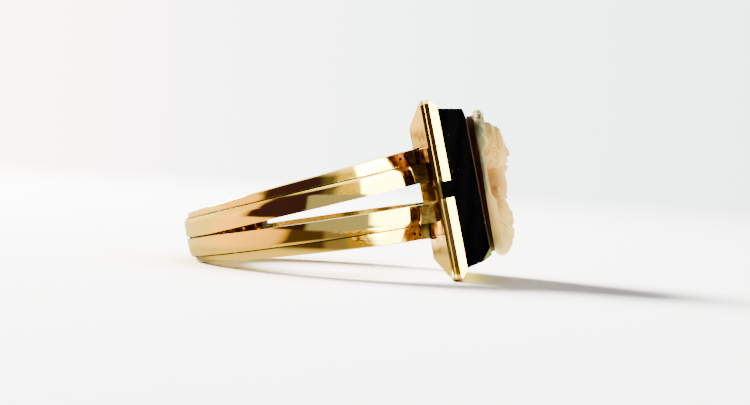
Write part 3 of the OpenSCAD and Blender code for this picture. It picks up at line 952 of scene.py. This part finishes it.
# The face, on even proportions: hollows, brows, eyes with their lids, cheeks, nose, lips and chin
around = np.hypot(x / 1.16, (y - 1.90) / 1.60)
face = np.zeros(count)
for at, half, high in (
    ((0.47, 2.12), (0.30, 0.21), -0.24),
    ((0.47, 2.47), (0.36, 0.09), 0.09),
    ((0.46, 2.11), (0.19, 0.105), 0.20),
    ((0.46, 2.235), (0.23, 0.032), -0.045),
    ((0.46, 1.990), (0.20, 0.030), -0.035),
    ((0.62, 1.62), (0.30, 0.30), 0.06),
    ((0.15, 1.60), (0.09, 0.08), 0.07),
    ((0.10, 1.49), (0.06, 0.03), -0.05),
):
    face += high * spot(side, y, at, half)
for at, half, high in (
    ((0, 1.20), (0.42, 0.26), 0.06),
    ((0, 1.38), (0.05, 0.07), -0.03),
    ((0, 1.255), (0.30, 0.055), 0.10),
    ((0, 1.095), (0.24, 0.065), 0.10),
    ((0, 1.178), (0.34, 0.028), -0.09),
    ((0, 0.955), (0.22, 0.05), -0.05),
    ((0, 0.72), (0.26, 0.17), 0.10),
):
    face += high * spot(x, y, at, half)
bridge = np.exp(-(x / 0.15) ** 2) * step_up(y, 1.48, 1.60) * step_up(2.62 - y, 0.0, 0.55)
face += (0.10 + 0.20 * step_up(2.35 - y, 0.0, 0.75)) * bridge
face *= lifted * front * step_up(1.06 - around, 0.0, 0.14)

# The hair is parted in the middle and drawn back in waves round the face, over the ears
on_hair = lifted * step_up(around, 0.99, 1.10) * step_up(y, 0.6, 1.3)
wave = 0.10 * np.sin(6.4 * np.arctan2(y - 1.85, side)) + 0.03 * np.sin(9 * y)
strands = np.sin((around + wave * 0.25) * 2 * math.pi / 0.135)
locks = np.sin((around + wave * 0.5) * 2 * math.pi / 0.30 + 1.0)
hair = on_hair * (0.040 * strands + 0.060 * locks)
hair += 0.10 * on_hair * np.exp(-((around - 1.12) / 0.06) ** 2)
hair -= 0.10 * on_hair * np.exp(-(x / 0.07) ** 2) * step_up(y, 3.0, 3.5)
# A curl of hair over each ear
ear = np.hypot((y - 1.85) / 0.50, (z - 1.55) / 0.42)
on_ear = step_up(side, 1.25, 1.50) * step_up(1.25 - ear, 0.0, 0.2)
hair = np.where(on_ear > 0, hair * (1 - on_ear), hair)
hair += on_ear * (0.13 * np.exp(-((ear - 0.80) / 0.20) ** 2) + 0.10 * np.exp(-(ear / 0.30) ** 2))

# The neck's two fine creases and the edge of the dress
neck = lifted * spot(x, y, (0, -0.10), (0.80, 0.60))
creases = -0.03 * neck * (np.exp(-((y - 0.10 - 0.10 * x * x) / 0.04) ** 2)
                          + np.exp(-((y + 0.24 - 0.10 * x * x) / 0.04) ** 2))
neckline = -0.98 - 0.42 * np.cos(np.clip(x / 1.7, -1, 1) * math.pi / 2) + 0.16 * side
raised = step_up(z, 1.12, 1.35)
dress = raised * (0.08 * step_up(neckline + 0.05 - y, 0.0, 0.09)
                  + 0.07 * np.exp(-((y - neckline + 0.10) / 0.08) ** 2))

# The folds of the dress hang from both shoulders and cross below. The left ones lie a little lower.
shifted = np.abs(x + 0.14 * np.sin(1.7 * y + 0.4))
sagging = y + 0.13 * np.sin(1.9 * x + 0.5)
folds = np.zeros(count)
for line, half, high in (
    (((2.75, -1.35), (2.00, -2.10), (1.05, -2.80), (0.10, -3.25)), 0.14, 0.14),
    (((3.10, -1.85), (2.35, -2.70), (1.30, -3.40), (0.20, -3.85)), 0.11, 0.10),
    (((3.25, -2.55), (2.50, -3.35), (1.45, -4.00), (0.40, -4.35)), 0.13, 0.12),
    (((3.05, -3.30), (2.35, -3.95), (1.45, -4.50), (0.60, -4.80)), 0.10, 0.10),
    (((2.15, -1.25), (1.50, -1.85), (0.75, -2.35), (0.05, -2.62)), 0.09, 0.09),
    (((1.50, -1.30), (1.05, -1.70), (0.55, -2.00), (0.10, -2.12)), 0.08, 0.08),
):
    folds += fold(shifted, sagging, line, half, high)
for line, half, high in (
    (((-2.2, -3.2), (-1.2, -3.9), (0.2, -4.5), (1.2, -4.7)), 0.12, 0.11),
    (((0.2, -2.9), (0.9, -3.3), (1.6, -3.3), (2.3, -3.0)), 0.09, 0.08),
    (((-0.3, -4.0), (-0.9, -4.5), (-1.6, -4.9), (-2.1, -4.9)), 0.09, 0.08),
    (((0.8, -3.9), (1.2, -4.3), (1.9, -4.5), (2.4, -4.2)), 0.09, 0.08),
):
    folds += fold(x, y, line, half, high)
on_cloth = step_up(-1.0 - y, 0.0, 0.5) * step_up(z, 0.75, 1.05)
ruffles = 0.035 * np.sin(5.1 * x + 2.2 * np.sin(3.3 * y)) * np.sin(6.3 * y + 1.4 * x)
ruffles *= step_up(-3.0 - y, 0.0, 1.2)
# The veil hangs behind in long soft folds
on_veil = (1 - raised) * step_up(z, 0.75, 0.95) * step_up(side, 1.1, 1.5) * step_up(4.6 - y, 0, 1.5)
drape = 0.07 * np.sin((side + 0.10 * np.sin(1.6 * y + x)) * 2 * math.pi / 0.62)
drape *= on_veil * step_up(y, -2.3, -1.3)

# Beside the neck the veil is thin
thin = step_up(y, -1.7, -0.9) * step_up(2.9 - y, 0.0, 0.9) * (1 - step_up(z, 1.0, 1.3))
points[:, 2] -= 0.55 * thin * np.clip(z - 0.45, 0, 0.6)
points[:, 2] += face + dress * 0.6
points += normals * (hair + creases + drape + on_cloth * (folds + ruffles) + dress * 0.4)[:, None]
points[:, 2] = np.minimum(points[:, 2], 2.74 - 0.03 * np.exp(-(points[:, 2] - 2.5) ** 2))
figure.data.vertices.foreach_set("co", points.ravel())
figure.data.update()
use_modifier(figure, "SMOOTH", factor=0.3, iterations=1)
flush(figure, True)
outward(figure)
only(figure)
bpy.ops.object.shade_smooth_by_angle(angle=math.radians(50))

pale, tree, shader = new_material("pale shell layer")
# Carved shell: greenish grey and thin at the veil, cream then peach in the high parts, satin to the eye.
# Light enters it, hollows and the neck are painted amber as shade, and fine dust and tool marks dull it.
place = (add_node(tree, "TexCoord"), "Object")
out_of_plaque = (add_node(tree, "VectorMath", {1: out_way, 0: place}, operation="DOT_PRODUCT"), "Value")
clouds = add_node(tree, "TexNoise", {"Scale": 320.0, "Detail": 3.0, "Distortion": 0.6, "Vector": place})
up_the_head = (add_node(tree, "VectorMath", {1: up_way, 0: place}, operation="DOT_PRODUCT"), "Value")
creamier = add_node(tree, "MapRange", {
    "From Min": 0.0008, "From Max": -0.0024, "To Max": 0.0013, "Value": up_the_head}, **smooth)
greyer = add_node(tree, "MapRange", {
    "From Min": 0.0028, "From Max": 0.0052, "To Max": -0.0008, "Value": up_the_head}, **smooth)
# The head is cut in the deeper colour, right down to the veil
head_place = Matrix.Rotation(-rest_tilt, 4, "Y") @ Vector((0.0142, 0, 0.0024))
from_head = (add_node(tree, "VectorMath", {1: head_place, 0: place}, operation="DISTANCE"), "Value")
on_head = add_node(tree, "MapRange", {
    "From Min": 0.00225, "From Max": 0.00185, "To Max": 0.0009, "Value": from_head}, **smooth)
lower = add_node(tree, "Math", {0: creamier, 1: greyer}, operation="ADD")
shift = add_node(tree, "Math", {0: lower, 1: on_head}, operation="ADD")
height = add_node(tree, "Math", {0: out_of_plaque, 1: shift}, operation="ADD")
layer = add_node(tree, "Math", {1: 0.0010, 0: clouds, 2: height}, operation="MULTIPLY_ADD")
lines = add_node(tree, "MapRange", {"From Min": 0.0136, "From Max": 0.0160, "Value": layer})
tones = add_node(tree, "ValToRGB", {"Fac": lines})
set_ramp(tones, [(0.0, "#544c2c"), (0.20, "#76765a"), (0.36, "#a0945a"),
                 (0.52, "#e2c470"), (0.75, "#f6c868"), (1.0, "#f2c062")])
form = add_node(tree, "NewGeometry")
# Painted shade: hollows, found by how sharply the surface curves in, are painted amber
hollow_shade = add_node(tree, "MapRange", {"From Min": 0.492, "From Max": 0.45, "Value": (form, "Pointiness")})
# Painted shade: beside the hair the neck is painted a deeper amber, for the shade under the chin and the
# warm light through the shell there
off_neck = add_node(tree, "Math", {0: up_the_head}, operation="ABSOLUTE")
by_neck = add_node(tree, "MapRange", {"From Min": 0.0016, "From Max": 0.0007, "Value": off_neck}, **smooth)
low_down = add_node(tree, "MapRange", {
    "From Min": 0.01500, "From Max": 0.01410, "To Max": 0.85, "Value": out_of_plaque}, **smooth)
above_veil = add_node(tree, "MapRange", {
    "From Min": 0.01345, "From Max": 0.01375, "Value": out_of_plaque}, **smooth)
beside = add_node(tree, "Math", {0: by_neck, 1: low_down}, operation="MULTIPLY")
neck_shade = add_node(tree, "Math", {0: beside, 1: above_veil}, operation="MULTIPLY")
painted_shade_mask = add_node(tree, "Math", {0: hollow_shade, 1: neck_shade}, operation="MAXIMUM")
tones_with_painted_shade = add_node(tree, "Mix", {7: "#b88038", 0: painted_shade_mask, 6: tones}, data_type="RGBA")
marks = add_node(tree, "TexNoise", {"Scale": 2600.0, "Detail": 5.0, "Roughness": 0.65, "Vector": place})
dull = add_node(tree, "MapRange", {
    "From Min": 0.3, "From Max": 0.75, "To Min": 0.30, "To Max": 0.55, "Value": marks})
spots = add_node(tree, "MapRange", {"From Min": 0.60, "From Max": 0.72, "To Max": 0.35, "Value": marks})
aged = add_node(tree, "Mix", {7: "#9a8c6c", 0: spots, 6: (tones_with_painted_shade, 2)}, data_type="RGBA")
tooled = add_node(tree, "Bump", {"Strength": 0.2, "Distance": 0.00002, "Height": marks})
set_inputs(tree, shader, {
    "Base Color": (aged, 2), "Roughness": dull, "Normal": tooled, "Subsurface Weight": 0.25,
    "Subsurface Radius": (1.0, 0.75, 0.4), "Subsurface Scale": 0.0006, "Specular IOR Level": 0.2,
    "Specular Tint": "#8a8a84"})
put_on_plaque(figure)
figure.data.materials.append(pale)
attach(figure, "root")
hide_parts("cameo_figure")
